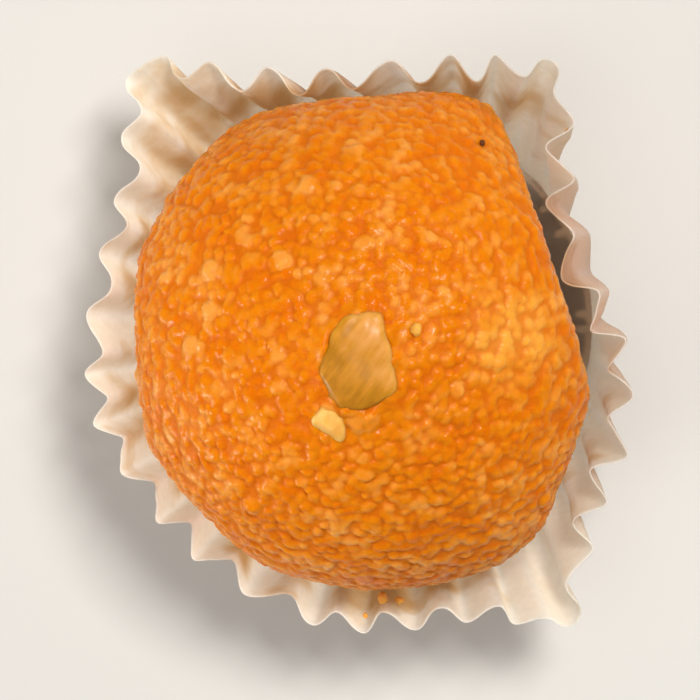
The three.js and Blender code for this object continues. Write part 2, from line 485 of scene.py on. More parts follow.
@dataclass(frozen=True)
class CardamomSeed:
    """Crushed cardamom seed: a dull and wrinkled fleck of dark brown."""

    husk: str = "#4A2610"
    worn: str = "#7A4820"

    def material(self) -> bpy.types.Material:
        """Builds the material.

        Returns:
            It reads Object coordinates.
        """
        material, tree = new_material("crushed_cardamom_seed")
        where = add_node(tree, "TexCoord", output="Object")
        # Wrinkles 0.15 mm apart.
        wrinkle = add_node(tree, "TexNoise", {"Vector": where, "Scale": 6500.0, "Detail": 2.0})
        colour = add_node(tree, "ValToRGB", {0: wrinkle}, stops=[(0.35, self.husk), (0.75, self.worn)])
        bump = add_node(tree, "Bump", {"Height": wrinkle, "Strength": 0.6, "Distance": 0.08 * MM})
        dull = {"Base Color": colour, "Roughness": 0.75, "Specular IOR Level": 0.2, "Normal": bump}
        add_node(tree, "OutputMaterial", {"Surface": add_node(tree, "BsdfPrincipled", dull)})
        return material


@dataclass(frozen=True)
class PaintedBoard:
    """Board with a coat of pale matte paint, which the roller left faintly uneven."""

    paint: str = "#D3D1CD"

    def material(self) -> bpy.types.Material:
        """Builds the material.

        Returns:
            It reads Object coordinates.
        """
        material, tree = new_material("matte_painted_board")
        where = add_node(tree, "TexCoord", output="Object")
        # Roller marks 20 mm across.
        marks = add_node(tree, "TexNoise", {"Vector": where, "Scale": 50.0, "Detail": 2.0})
        roughness = add_node(tree, "ValToRGB", {0: marks}, stops=[(0.3, 0.8), (0.7, 0.9)])
        shader = add_node(tree, "BsdfPrincipled", {"Base Color": self.paint, "Roughness": roughness})
        add_node(tree, "OutputMaterial", {"Surface": shader})
        return material


# ---- the ball of boondi ----


@dataclass(frozen=True)
class Flat:
    """A place where the ball is pressed flat: which way it faces and how far from the ball's centre."""

    azimuth: float
    elevation: float
    distance: float


@dataclass(frozen=True)
class Lump:
    """A bulge that the fingers left, or a hollow if its height is below zero. Its spread is in degrees."""

    azimuth: float
    elevation: float
    height: float
    spread: float


@dataclass(frozen=True)
class RolledForm:
    """The ball's form without its pearls: a rolled ellipsoid with lumps, pressed flat in places.

    A flat leaves the skin alone where their directions differ so much that their product is under grazing.
    """

    half_sizes: tuple[float, float, float] = (21.3, 21.5, 20.0)
    flat_blend: float = 0.4
    grazing: float = 0.2
    flats: tuple[Flat, ...] = (
        Flat(18, -8, 16.7),
        Flat(96, -5, 20.6),
        Flat(150, -2, 20.3),
        Flat(182, 3, 19.2),
        Flat(222, 0, 20.0),
        Flat(342, -7, 19.5),
        Flat(0, -90, 19.5),
    )
    lumps: tuple[Lump, ...] = (
        Lump(305, 3, 1.1, 22),
        Lump(66, 3, 1.2, 13),
        Lump(215, 48, 0.4, 20),
        Lump(335, 55, -0.4, 18),
    )

    def reach(self, towards: Array) -> Array:
        """Gives how far the ball reaches from its centre.

        Args:
            towards: unit vectors, a row for each.

        Returns:
            A distance for each.
        """
        reach = 1 / np.linalg.norm(towards / np.array(self.half_sizes), axis=1)
        for lump in self.lumps:
            facing = np.clip(towards @ direction(lump.azimuth, lump.elevation), -1, 1)
            reach = reach + lump.height * np.exp(-((np.degrees(np.arccos(facing)) / lump.spread) ** 2))
        for flat in self.flats:
            facing = towards @ direction(flat.azimuth, flat.elevation)
            plane = flat.distance / np.maximum(facing, self.grazing)
            pressed = -self.flat_blend * np.logaddexp(-reach / self.flat_blend, -plane / self.flat_blend)
            reach = np.where(facing > self.grazing, pressed, reach)
        return reach

    def clearance(self, points: Array) -> Array:
        """Gives how far outside the ball each point is.

        Args:
            points: a row for each point, in the frame.

        Returns:
            A distance for each, measured from the ball's centre.
        """
        offsets = points - BALL_CENTRE
        return np.linalg.norm(offsets, axis=1) - self.reach(unit(offsets))

    def seat(self, x: float, y: float, proud: float) -> Matrix:
        """Gives the place of something pressed into the top of the ball.

        Args:
            x: how far it is from the ball's centre along X.
            y: how far it is from the ball's centre along Y.
            proud: how far its origin stands out of the skin.

        Returns:
            A matrix, in millimetres, that turns its +Z out of the ball.
        """
        height = math.sqrt(self.half_sizes[2] ** 2 - x * x - y * y)
        towards = unit(np.array([[x, y, height]]))
        spot = towards[0] * (self.reach(towards)[0] + proud) + BALL_CENTRE
        turn = Vector((0, 0, 1)).rotation_difference(Vector(towards[0]))
        return Matrix.Translation(spot) @ turn.to_matrix().to_4x4()


@dataclass(frozen=True)
class WholePearl:
    """A pearl that stayed whole and stands out: its direction from the ball's centre, and its radius."""

    azimuth: float
    elevation: float
    radius: float


@dataclass(frozen=True)
class PalePatch:
    """A ragged patch of paler boondi: its middle's direction, and its radius and soft edge in degrees."""

    azimuth: float = 4.0
    elevation: float = 47.0
    radius: float = 15.0
    fade: float = 12.0
    ragged: float = 8.0
    pitch: float = 2.5
    strength: float = 0.65

    def share(self, towards: Array) -> Array:
        """Gives how pale the boondi is.

        Args:
            towards: unit vectors, a row for each point of the skin.

        Returns:
            From 0 to the patch's strength for each point.
        """
        facing = towards @ direction(self.azimuth, self.elevation)
        apart = np.degrees(np.arccos(np.clip(facing, -1, 1)))
        uneven = self.ragged * ripple(towards * BALL_RADIUS, self.pitch)
        return self.strength * np.clip((self.radius - apart + uneven) / self.fade, 0, 1)


@dataclass(frozen=True)
class Bank:
    """The boondi that was pushed up in heaps round the nut, and a painted shadow along the nut's edge."""

    height: float = 0.45
    width: float = 0.8
    heaped: float = 1.5
    heap_pitch: float = 1.4
    edge_shadow: float = 0.6
    edge_shadow_width: float = 0.3

    def rise(self, towards: Array, margin: Array) -> Array:
        """Gives how far the skin is pushed out.

        Args:
            towards: unit vectors, a row for each point of the skin.
            margin: how far each point is from the nut's outline.

        Returns:
            A height for each point.
        """
        heaps = 1 + self.heaped * ripple(towards * BALL_RADIUS, self.heap_pitch, 6.0)
        return self.height * heaps * np.exp(-((margin / self.width) ** 2))

    def shadow(self, margin: Array) -> Array:
        """Gives how much painted shadow lies along the nut's edge at each point, from 0 to 1."""
        return self.edge_shadow * np.exp(-((margin / self.edge_shadow_width) ** 2))


@dataclass
class BoondiBall:
    """The ladoo: thousands of boondi pearls pressed and fused into one ball.

    Pairs are a pitch and a strength for what is uneven, and a lowest and a highest for what varies. Tones go
    from dark at 0 to light at 1.
    """

    form: RolledForm
    pearls: int = 8500
    nudge: float = 0.36
    smallest: float = 0.45
    largest: float = 1.0
    size_balance: tuple[float, float] = (2.0, 2.8)
    tone: float = 0.48
    tone_spread: float = 0.15
    sunk: float = 0.14
    gap_depth: float = 0.34
    # Painted shade: the darker tone that the paste in the gaps takes.
    gap_shade_tone: float = 0.3
    fusing: float = 0.05
    mashed: tuple[tuple[float, float], ...] = ((0.35, 0.03), (0.7, 0.05), (4.5, 0.18))
    squashed: tuple[tuple[float, float], ...] = ((1.6, 0.28), (0.6, 0.1))
    bank: Bank = Bank()
    pale_patch: PalePatch = PalePatch()
    strays: int = 30
    stray_radii: tuple[float, float] = (0.7, 1.1)
    stray_tones: tuple[float, float] = (0.5, 0.75)
    whole_tone: float = 0.85
    whole_sunk: float = 0.7
    whole: tuple[WholePearl, ...] = (
        WholePearl(178, 51, 1.15),
        WholePearl(149, 50, 1.1),
        WholePearl(163, 55, 0.95),
        WholePearl(122, 63, 1.0),
        WholePearl(285, 73.0, 1.05),
        WholePearl(296, 72.5, 1.0),
    )
    rests_at: float = 0.15
    crowding: float = 0.42
    neighbours: int = 16
    cuts: tuple[int, int] = (8, 13)
    seed: int = 7

    def build(self, finish: SyrupyBoondi, nut: NutPiece) -> bpy.types.Object:
        """Models the ball.

        Args:
            finish: what it is made of.
            nut: the piece of nut pressed into it.

        Returns:
            The finished piece.
        """
        ball = self._blank()
        towards = self._crowded(unit(points_of(ball)))
        reach, tone, gap_shade = self._skin(towards)
        margin = nut.margin(towards * reach[:, None] + BALL_CENTRE)
        reach += self.bank.rise(towards, margin)
        skin = towards * reach[:, None] + BALL_CENTRE
        # It rests on the paper with a flat spot.
        skin[:, 2] = np.maximum(skin[:, 2], self.rests_at)
        move_points(ball, skin)
        keep_values(ball, "tone", tone)
        # Painted shade: the gaps between pearls, and the painted shadow along the nut's edge, go over to the
        # darker gap colour.
        keep_values(ball, "gap_shade", np.maximum(gap_shade, self.bank.shadow(margin)))
        keep_values(ball, "pale", self.pale_patch.share(towards))
        finish_piece(ball, "boondi_ball", finish.material("syrup_glazed_boondi"))
        return ball

    def _blank(self) -> bpy.types.Object:
        """Makes a ball of evenly spread square faces, each about a quarter of a millimetre wide.

        Returns:
            The ball, at the origin.
        """
        ball = add_primitive(bpy.ops.mesh.primitive_cube_add, size=2 * BALL_RADIUS * MM)
        bpy.ops.object.mode_set(mode="EDIT")
        bpy.ops.mesh.select_all(action="SELECT")
        for cuts in self.cuts:
            bpy.ops.mesh.subdivide(number_cuts=cuts)
        bpy.ops.transform.tosphere(value=1.0)
        bpy.ops.object.mode_set(mode="OBJECT")
        return ball

    def _crowded(self, towards: Array) -> Array:
        """Moves the points of the blank towards the top, where more of the pearls show.

        Args:
            towards: unit vectors, a row for each point.

        Returns:
            The moved ones.
        """
        height = (towards[:, 2] + self.crowding) / (1 + self.crowding * towards[:, 2])
        level = np.sqrt(np.maximum(1 - height**2, 0) / np.maximum(1 - towards[:, 2] ** 2, 1e-12))
        return unit(np.stack([towards[:, 0] * level, towards[:, 1] * level, height], axis=1))

    def _spots(self, rng: np.random.Generator) -> Array:
        """Spreads the pearls over the ball on a spiral, nudges each one, and adds the whole ones.

        Args:
            rng: makes the nudges.

        Returns:
            A unit vector for each pearl.
        """
        numbers = np.arange(self.pearls)
        height = 1 - (2 * numbers + 1) / self.pearls
        level = np.sqrt(1 - height**2)
        angle = numbers * math.pi * (3 - math.sqrt(5))
        spots = np.stack([level * np.cos(angle), level * np.sin(angle), height], axis=1)
        nudged = unit(spots + rng.normal(0, self.nudge / BALL_RADIUS, spots.shape))
        return np.vstack([nudged, [direction(pearl.azimuth, pearl.elevation) for pearl in self.whole]])

    def _grains(self, rng: np.random.Generator) -> tuple[Array, Array, Array]:
        """Chooses the pearls' sizes and colours.

        Args:
            rng: makes the choices.

        Returns:
            For each pearl, its radius, how deep its centre lies, and how light it is from 0 to 1.
        """
        count = self.pearls + len(self.whole)
        radii = self.smallest + (self.largest - self.smallest) * rng.beta(*self.size_balance, count)
        depths = radii + self.sunk * rng.random(count)
        tones = np.clip(rng.normal(self.tone, self.tone_spread, count), 0, 1)
        strays = rng.permutation(self.pearls)[: self.strays]
        standing = np.append(strays, np.arange(self.pearls, count))
        radii[strays] = rng.uniform(*self.stray_radii, self.strays)
        radii[self.pearls :] = [pearl.radius for pearl in self.whole]
        depths[standing] = self.whole_sunk * radii[standing]
        tones[strays] = rng.uniform(*self.stray_tones, self.strays)
        tones[self.pearls :] = self.whole_tone
        return radii, depths, tones

    def _skin(self, towards: Array) -> tuple[Array, Array, Array]:
        """Works out the pearly skin.

        Args:
            towards: unit vectors, a row for each point of the skin.

        Returns:
            For each point, how far it is from the centre, its pearl's tone, and how deep in a gap it lies,
            which sets its painted shade.
        """
        rng = np.random.default_rng(self.seed)
        spots = self._spots(rng)
        radii, depths, tones = self._grains(rng)
        centres = spots * (self.form.reach(spots) - depths)[:, None]
        bent = self._bent(towards)
        near = self._nearest(bent, spots)
        across = np.einsum("ij,ikj->ik", bent, centres[near])
        inside = radii[near] ** 2 - (centres[near] ** 2).sum(axis=2) + across**2
        tops = np.where(inside > 0, across + np.sqrt(np.maximum(inside, 0)), 0)
        crown = self.form.reach(bent)
        floor = crown - self.gap_depth
        highest = np.maximum(tops.max(axis=1), floor)
        weight = np.exp((tops - highest[:, None]) / self.fusing)
        filling = np.exp((floor - highest) / self.fusing)
        total = weight.sum(axis=1) + filling
        reach = highest + self.fusing * np.log(total)
        # Painted shade: where the gaps fill in, the tone goes over to the darker gap_shade_tone.
        tone = ((weight * tones[near]).sum(axis=1) + self.gap_shade_tone * filling) / total
        gap_shade = np.clip((crown - reach) / self.gap_depth, 0, 1)
        mashed = sum(height * ripple(towards * BALL_RADIUS, pitch) for pitch, height in self.mashed)
        return reach - crown + self.form.reach(towards) + mashed, tone, gap_shade

    def _bent(self, towards: Array) -> Array:
        """Bends directions, so that the pearls looked up along them come out squashed and not round.

        Args:
            towards: unit vectors, a row for each point.

        Returns:
            The bent ones.
        """
        bend = np.zeros_like(towards)
        for pitch, strength in self.squashed:
            waves = [ripple(towards * BALL_RADIUS, pitch, seed) for seed in (11.0, 23.0, 37.0)]
            bend += strength / BALL_RADIUS * np.stack(waves, axis=1)
        return unit(towards + bend)

    def _nearest(self, towards: Array, spots: Array) -> Array:
        """Finds the pearls round each point.

        Args:
            towards: a unit vector for each point.
            spots: a unit vector for each pearl.

        Returns:
            For each point, a row of pearl numbers.
        """
        tree = kdtree.KDTree(len(spots))
        for number, spot in enumerate(spots):
            tree.insert(spot, number)
        tree.balance()
        return np.array([[number for _, number, _ in tree.find_n(spot, self.neighbours)] for spot in towards])


# ---- nuts and loose bits ----


@dataclass
class NutPiece:
    """A broken piece of cashew, pressed into the top of the ladoo.

    Its outline is drawn round its own middle. What is uneven has a height, a pitch and a shift.
    """

    form: RolledForm
    x: float = 1.7
    y: float = -0.5
    proud: float = 0.7
    depth: float = 4.4
    edge: float = 0.7
    plumper: float = 1.05
    half_width: float = 3.0
    half_length: float = 4.0
    crowned: float = 0.35
    settled: float = 0.2
    uneven: tuple[tuple[float, float, float], ...] = ((0.3, 2.4, 3.0), (0.16, 1.0, 8.0))
    # Painted light: paler towards +X and +Y as a painted highlight, darker at the other end as painted shade.
    painted_light_towards: tuple[float, float] = (0.55, 0.45)
    painted_light_from: float = 0.3
    painted_light_fade: float = 1.8
    least_painted_light: float = -0.7
    reach_down: float = 4.0
    outline: tuple[tuple[float, float], ...] = (
        (-1.2, 3.8),
        (1.9, 4.1),
        (3.3, -2.3),
        (1.0, -3.9),
        (-1.5, -3.6),
        (-3.2, -1.0),
        (-2.4, 1.9),
    )

    def build(self, finish: SyrupSoakedNut) -> bpy.types.Object:
        """Models the nut.

        Args:
            finish: what it is made of.

        Returns:
            The finished piece.
        """
        circle = {"vertices": len(self.outline), "radius": self.half_width * MM, "fill_type": "NGON"}
        nut = add_primitive(bpy.ops.mesh.primitive_circle_add, **circle)
        move_points(nut, np.array([(self.plumper * x, self.plumper * y, 0.0) for x, y in self.outline]))
        bpy.ops.object.mode_set(mode="EDIT")
        bpy.ops.mesh.select_all(action="SELECT")
        bpy.ops.mesh.extrude_region_move(TRANSFORM_OT_translate={"value": (0, 0, -self.depth * MM)})
        bpy.ops.mesh.select_all(action="SELECT")
        bpy.ops.mesh.normals_make_consistent(inside=False)
        bpy.ops.mesh.bevel(offset=self.edge * MM, segments=2, affect="EDGES")
        bpy.ops.object.mode_set(mode="OBJECT")
        apply_modifier(nut, "SUBSURF", levels=3, render_levels=3)
        self._break_up(nut)
        # Painted highlight at the end towards +X and +Y, painted shade at the other.
        keep_values(nut, "painted_light", self._painted_light(points_of(nut)))
        nut.data.transform(self._seat_in_metres())
        finish_piece(nut, "cashew_piece", finish.material("syrup_soaked_cashew"))
        return nut

    def _break_up(self, nut: bpy.types.Object) -> None:
        """Gives the nut a crowned top and the uneven faces of a break.

        Args:
            nut: the smooth piece, at the origin.
        """
        points = points_of(nut)
        out = unit(points + np.array([0, 0, self.depth / 2]))
        uneven = sum(height * ripple(points, pitch, shift) for height, pitch, shift in self.uneven)
        inside = 1 - (points[:, 0] / self.half_width) ** 2 - (points[:, 1] / self.half_length) ** 2
        crown = np.zeros_like(points)
        crown[:, 2] = self.crowned * np.clip(inside, 0, 1) - self.settled
        move_points(nut, points + out * uneven[:, None] + crown)

    def _painted_light(self, points: Array) -> Array:
        """Gives the nut's painted light: a painted highlight at the end towards +X and +Y, and painted shade
        at the other.

        Args:
            points: a row for each point, from the nut's own middle.

        Returns:
            From the most shaded, which is below 0, to 1 for each point.
        """
        across, up = self.painted_light_towards
        along = across * points[:, 0] + up * points[:, 1]
        return np.clip((along - self.painted_light_from) / self.painted_light_fade, self.least_painted_light, 1)

    def _seat_in_metres(self) -> Matrix:
        """Gives the nut's place on the ball.

        Returns:
            A matrix for a mesh in metres.
        """
        seat = self.form.seat(self.x, self.y, self.proud)
        seat.translation *= MM
        return seat

    def margin(self, points: Array) -> Array:
        """Gives how far each point is from the nut's outline.

        Args:
            points: a row for each point, in the frame.

        Returns:
            The distance outside or inside the outline, or FAR for what is well below the nut.
        """
        to_nut = np.array(self.form.seat(self.x, self.y, self.proud).inverted())
        local = points @ to_nut[:3, :3].T + to_nut[:3, 3]
        margin = np.full(len(points), FAR)
        for start, end in zip(self.outline, self.outline[1:] + self.outline[:1]):
            side = np.subtract(end, start)
            share = np.clip((local[:, :2] - start) @ side / (side @ side), 0, 1)
            apart = np.linalg.norm(local[:, :2] - start - share[:, None] * side, axis=1)
            margin = np.minimum(margin, apart)
        return np.where(local[:, 2] > -self.reach_down, margin, FAR)


@dataclass(frozen=True)
class Chip:
    """A chip of nut: its offset from the ball's centre, sizes, turn in radians, and how proud it is."""

    x: float
    y: float
    size: tuple[float, float, float]
    turned: float
    proud: float


@dataclass
class NutChips:
    """Small pale chips of nut that lie beside the larger piece.

    They are broken larger than life, and the blank, the depths, the grain and the pitch have that size.
    """

    form: RolledForm
    chips: tuple[Chip, ...] = (
        Chip(-0.8, -5.8, (2.7, 3.8, 2.2), 0.2, 0.48),
        Chip(6.3, 2.2, (1.15, 0.95, 1.1), 1.2, 0.6),
    )
    blank_radius: float = 5.0
    breaks: int = 7
    break_depths: tuple[float, float] = (2.6, 4.0)
    grain: float = 0.35
    worn: int = 12
    uneven: float = 0.1
    uneven_pitch: float = 2.5
    seed: int = 5

    def build(self, finish: SyrupSoakedNut) -> bpy.types.Object:
        """Models the chips and joins them.

        Args:
            finish: what they are made of.

        Returns:
            The finished piece.
        """
        rng = np.random.default_rng(self.seed)
        piece = joined([self._broken_chip(chip, rng) for chip in self.chips])
        finish_piece(piece, "nut_chips", finish.material("pale_cashew_chip"))
        return piece

    def _broken_chip(self, chip: Chip, rng: np.random.Generator) -> bpy.types.Object:
        """Breaks a round bit of nut on several sides, wears its edges and brings it to its size.

        Args:
            chip: which one.
            rng: chooses where it breaks.

        Returns:
            The chip, in its place on the ball.
        """
        radius = self.blank_radius * MM
        piece = add_primitive(bpy.ops.mesh.primitive_ico_sphere_add, subdivisions=3, radius=radius)
        bpy.ops.object.mode_set(mode="EDIT")
        for facing in unit(rng.normal(size=(self.breaks, 3))):
            bpy.ops.mesh.select_all(action="SELECT")
            depth = rng.uniform(*self.break_depths) * MM
            bpy.ops.mesh.bisect(plane_co=facing * depth, plane_no=facing, use_fill=True, clear_outer=True)
        bpy.ops.object.mode_set(mode="OBJECT")
        apply_modifier(piece, "REMESH", mode="VOXEL", voxel_size=self.grain * MM)
        apply_modifier(piece, "SMOOTH", factor=0.5, iterations=self.worn)
        points = points_of(piece)
        points *= 1 + self.uneven * ripple(points, self.uneven_pitch, 5.0)[:, None]
        lowest, highest = points.min(axis=0), points.max(axis=0)
        move_points(piece, (points - (lowest + highest) / 2) / (highest - lowest) * chip.size)
        seat = self.form.seat(chip.x, chip.y, chip.proud - chip.size[2] / 2)
        seat.translation *= MM
        piece.data.transform(seat @ Matrix.Rotation(chip.turned, 4, "Z"))
        return piece


@dataclass(frozen=True)
class Bit:
    """A loose bit: where it lies, its half length, and how light it is from 0 to 1."""

    spot: tuple[float, float, float]
    size: float
    tone: float = 0.5


@dataclass
class LooseBits:
    """Many small rounded bits of one kind: one is modelled, and the rest are copies, turned and scaled."""

    name: str
    subdivisions: int = 3
    roughness: float = 0.3
    wrinkle_pitch: float = 1.1
    stretch: tuple[float, float] = (0.75, 1.1)
    pale: float = 0.0
    seed: int = 3

    def build(self, bits: list[Bit], material: bpy.types.Material) -> bpy.types.Object:
        """Models the bits and joins them.

        Args:
            bits: where they lie.
            material: what they are made of.

        Returns:
            The finished piece.
        """
        rng = np.random.default_rng(self.seed)
        sphere = {"subdivisions": self.subdivisions, "radius": 1.0 * MM}
        first = add_primitive(bpy.ops.mesh.primitive_ico_sphere_add, **sphere)
        blank = points_of(first)
        copies = []
        for number, bit in enumerate(bits):
            copy = first.copy()
            copy.data = first.data.copy()
            bpy.context.scene.collection.objects.link(copy)
            wrinkles = self.roughness * ripple(blank, self.wrinkle_pitch, 7.0 * number)
            shaped = blank * (1 + wrinkles)[:, None]
            angle = rng.uniform(0, math.tau)
            turn = np.array(Matrix.Rotation(angle, 3, Vector(rng.normal(size=3)).normalized()))
            sizes = bit.size * rng.uniform(*self.stretch, 3)
            move_points(copy, (shaped * sizes) @ turn.T + bit.spot)
            copies.append(copy)
        bpy.data.objects.remove(first)
        piece = joined(copies)
        keep_values(piece, "tone", np.repeat([bit.tone for bit in bits], len(blank)))
        keep_values(piece, "pale", np.full(len(bits) * len(blank), self.pale))
        finish_piece(piece, self.name, material)
        return piece


# ---- the paper case ----


class BendProfile(Enum):
    """How a bend of the rim fades with the angle from its middle."""

    ROUND = "round"
    CREASED = "creased"

    def share(self, angle: Array, spread: float) -> Array:
        """Gives how much of the bend is left.

        Args:
            angle: degrees from the bend's middle.
            spread: degrees over which it fades.

        Returns:
            From 0 to 1 for each angle.
        """
        if self is BendProfile.ROUND:
            return np.exp(-((angle / spread) ** 2))
        tip = 0.25
        return np.exp(tip - np.hypot(angle / spread, tip))


@dataclass(frozen=True)
class RimBend:
    """A place where the rim leans out or is pushed in, and the wall's belly there."""

    profile: BendProfile
    azimuth: float
    reach: float
    spread: float
    belly: float

    def apart(self, azimuth: Array) -> Array:
        """Gives how many degrees each azimuth lies from the bend's middle, from -180 to 180."""
        return (azimuth - self.azimuth + 180) % 360 - 180


@dataclass(frozen=True)
class Stain:
    """Ghee that soaked into the wall, yellower and darker, which in a creased corner is painted shade as
    well: its place from 0 to 1 round the case, how far up, and its spread.
    """

    turn: float
    along: float
    spread: float
    strength: float


@dataclass
class PaperCase:
    """The case: a round sheet of greaseproof paper with a flat middle, fluted up into a wall.

    Crispness and depths are pairs: a place round the case from 0 to 1, and how sharp or how deep its flutes
    are there. Drifts and lean have a size, how often they come round the case, and a shift. Crumples have a
    height, a pitch and a shift.
    """

    base_radius: float = 18.0
    wall_length: float = 20.6
    flutes: int = 34
    rim_radius: float = 23.0
    belly: float = 0.6
    uneven: float = 0.3
    thickness: float = 0.12
    columns_per_flute: int = 18
    wall_rings: int = 30
    base_rings: tuple[float, ...] = (1.5, 5.0, 9.0, 12.5, 15.0, 16.5, 17.4)
    cut_edge: float = 0.5
    fold_sharpness: int = 6
    folds_full_at: float = 3.0
    fold_strength: float = 0.7
    # Ghee near the ball; its darker yellow is also painted shade where the paper comes close to the ball.
    greased_and_shaded_at_touch: float = 0.62
    greased_and_shaded_at_most: float = 0.6
    grease_and_shade_reach: float = 5.0
    fullness: float = 0.96
    drifts: tuple[tuple[float, int, float], ...] = ((0.12, 5, 1.0), (0.07, 11, 0.0))
    lean: tuple[float, int, float] = (0.14, 7, 0.5)
    crumples: tuple[tuple[float, float, float], ...] = ((0.22, 5.0, 2.0), (0.05, 1.6, 4.0))
    crumples_full_at: float = 8.0
    corner_calm: float = 0.5
    corner_width: float = 5.0
    seed: int = 11
    bends: tuple[RimBend, ...] = (
        RimBend(BendProfile.CREASED, 131, 8, 9, -1.2),
        RimBend(BendProfile.CREASED, 55, 6, 10, -0.4),
        RimBend(BendProfile.CREASED, 305, 7, 9, -0.8),
        RimBend(BendProfile.ROUND, 23, -4.7, 25, 1.2),
        RimBend(BendProfile.ROUND, 98, -1.1, 17, 0.8),
        RimBend(BendProfile.ROUND, 196, 0.9, 22, 0.6),
        RimBend(BendProfile.ROUND, 266, 1.6, 26, 0.6),
    )
    crispness: tuple[tuple[float, float], ...] = (
        (0.0, 0.05),
        (0.13, 0.0),
        (0.27, -0.05),
        (0.4, -0.06),
        (0.52, -0.03),
        (0.57, 0.08),
        (0.64, 0.08),
        (0.69, -0.02),
        (0.75, -0.05),
        (0.85, -0.03),
    )
    depths: tuple[tuple[float, float], ...] = (
        (0.38, 1.0),
        (0.46, 0.82),
        (0.52, 0.85),
        (0.57, 1.0),
        (0.65, 1.0),
        (0.72, 0.78),
        (0.8, 0.82),
        (0.88, 1.0),
    )
    stains_and_shade: tuple[Stain, ...] = (
        # Painted shade: the first darkens the creased corner over the ball as well as staining it; the others
        # are ghee stains.
        Stain(0.36, 12.0, 8.0, 0.45),
        Stain(0.75, 15.5, 3.0, 0.4),
        Stain(0.76, 11.0, 7.0, 0.35),
        Stain(0.17, 13.0, 6.0, 0.25),
        Stain(0.55, 14.0, 4.0, 0.2),
    )

    def build(self, finish: GreaseproofPaper, form: RolledForm) -> bpy.types.Object:
        """Models the case.

        Args:
            finish: what it is made of.
            form: the ball that greases it.

        Returns:
            The finished piece.
        """
        sheet = self._flat_sheet()
        flat = points_of(sheet)
        radius = np.hypot(flat[:, 0], flat[:, 1])
        turn = np.arctan2(flat[:, 1], flat[:, 0]) / math.tau % 1
        along = radius - self.base_radius
        pressed = self.pressed(turn, np.maximum(along, 0))
        base = flat + CASE_AXIS + np.array([0, 0, self.thickness / 2])
        shaped = np.where((along > 0)[:, None], pressed, base)
        move_points(sheet, shaped)
        edge = np.clip((along - self.wall_length + self.cut_edge) / self.cut_edge, 0, 1)
        # The folds are narrow lines along the crests and the hollows of the flutes.
        folds = np.abs(self._wave(turn)) ** self.fold_sharpness * np.clip(along / self.folds_full_at, 0, 1)
        keep_values(sheet, "crease", np.maximum(edge, self.fold_strength * folds))
        # Ghee, and painted shade near the ball and in a creased corner.
        keep_values(sheet, "grease_and_shade", self._grease_and_shade(shaped, form))
        apply_modifier(sheet, "SOLIDIFY", thickness=self.thickness * MM, offset=0.0)
        finish_piece(sheet, "fluted_paper_case", finish.material(), crisp=60)
        return sheet

    def _grease_and_shade(self, points: Array, form: RolledForm) -> Array:
        """Gives how much ghee each point has taken up, which also paints shade near the ball and in a creased
        corner.

        Args:
            points: a row for each point, in the frame.
            form: the ball that greases the paper.

        Returns:
            From 0 to 1 for each point.
        """
        near = self.greased_and_shaded_at_touch - form.clearance(points) / self.grease_and_shade_reach
        grease_and_shade = np.clip(near, 0, self.greased_and_shaded_at_most)
        for stain in self.stains_and_shade:
            spot = self.pressed(np.array([stain.turn]), np.array([stain.along]))
            apart = np.linalg.norm(points - spot, axis=1)
            grease_and_shade += stain.strength * np.exp(-((apart / stain.spread) ** 2))
        return np.minimum(grease_and_shade, 1)

    def _flat_sheet(self) -> bpy.types.Object:
        """Grows the round sheet ring by ring from its middle.

        Returns:
            The sheet, flat, with its middle at the origin.
        """
        columns = self.flutes * self.columns_per_flute
        wall = self.base_radius + np.linspace(0, self.wall_length, self.wall_rings + 1)
        rings = [*self.base_rings, *wall]
        circle = {"vertices": columns, "radius": rings[0] * MM, "fill_type": "TRIFAN"}
        sheet = add_primitive(bpy.ops.mesh.primitive_circle_add, **circle)
        bpy.ops.object.mode_set(mode="EDIT")
        bpy.ops.mesh.select_all(action="SELECT")
        bpy.ops.mesh.region_to_loop()
        for inner, outer in zip(rings, rings[1:]):
            bpy.ops.mesh.extrude_edges_move()
            bpy.ops.transform.resize(value=(outer / inner, outer / inner, 1), center_override=(0, 0, 0))
        bpy.ops.mesh.select_all(action="SELECT")
        bpy.ops.mesh.normals_make_consistent(inside=False)
        bpy.ops.object.mode_set(mode="OBJECT")
        return sheet

    def _rim(self, azimuth: Array) -> tuple[Array, Array]:
        """Gives the rim's middle line.

        Args:
            azimuth: in degrees.

        Returns:
            The rim's radius and the belly of the wall below it, for each azimuth.
        """
        radius = np.full(len(azimuth), self.rim_radius)
        belly = np.full(len(azimuth), self.belly)
        for bend in self.bends:
            share = bend.profile.share(bend.apart(azimuth), bend.spread)
            radius += bend.reach * share
            belly += (bend.belly - self.belly) * share
        return radius, belly

    def _rim_azimuth(self, turn: Array) -> Array:
        """Gives the azimuth at each share of the rim's length, because paper is spread along it evenly.

        Args:
            turn: from 0 to 1 round the case, for each point.

        Returns:
            Degrees for each point.
        """
        azimuth = np.linspace(0, 360, 4 * 360 + 1)
        radius, _ = self._rim(azimuth)
        line = radius[:, None] * level_directions(np.radians(azimuth))
        length = np.concatenate([[0], np.cumsum(np.linalg.norm(np.diff(line, axis=0), axis=1))])
        return np.interp(turn % 1, length / length[-1], azimuth)

    def _smooth_wall(self, turn: Array, along: Array) -> Array:
        """Gives the wall before it is fluted.

        Args:
            turn: from 0 to 1 round the case, for each point.
            along: how far up the paper each point is.

        Returns:
            A row for each point.
        """
        foot = self.base_radius * level_directions(turn * math.tau)
        azimuth = self._rim_azimuth(turn)
        radius, belly = self._rim(azimuth)
        out = level_directions(np.radians(azimuth))
        top = radius[:, None] * out
        top[:, 2] = np.sqrt(self.wall_length**2 - ((top - foot) ** 2).sum(axis=1))
        share = along / self.wall_length
        return foot + (top - foot) * share[:, None] + out * (4 * belly * share * (1 - share))[:, None]

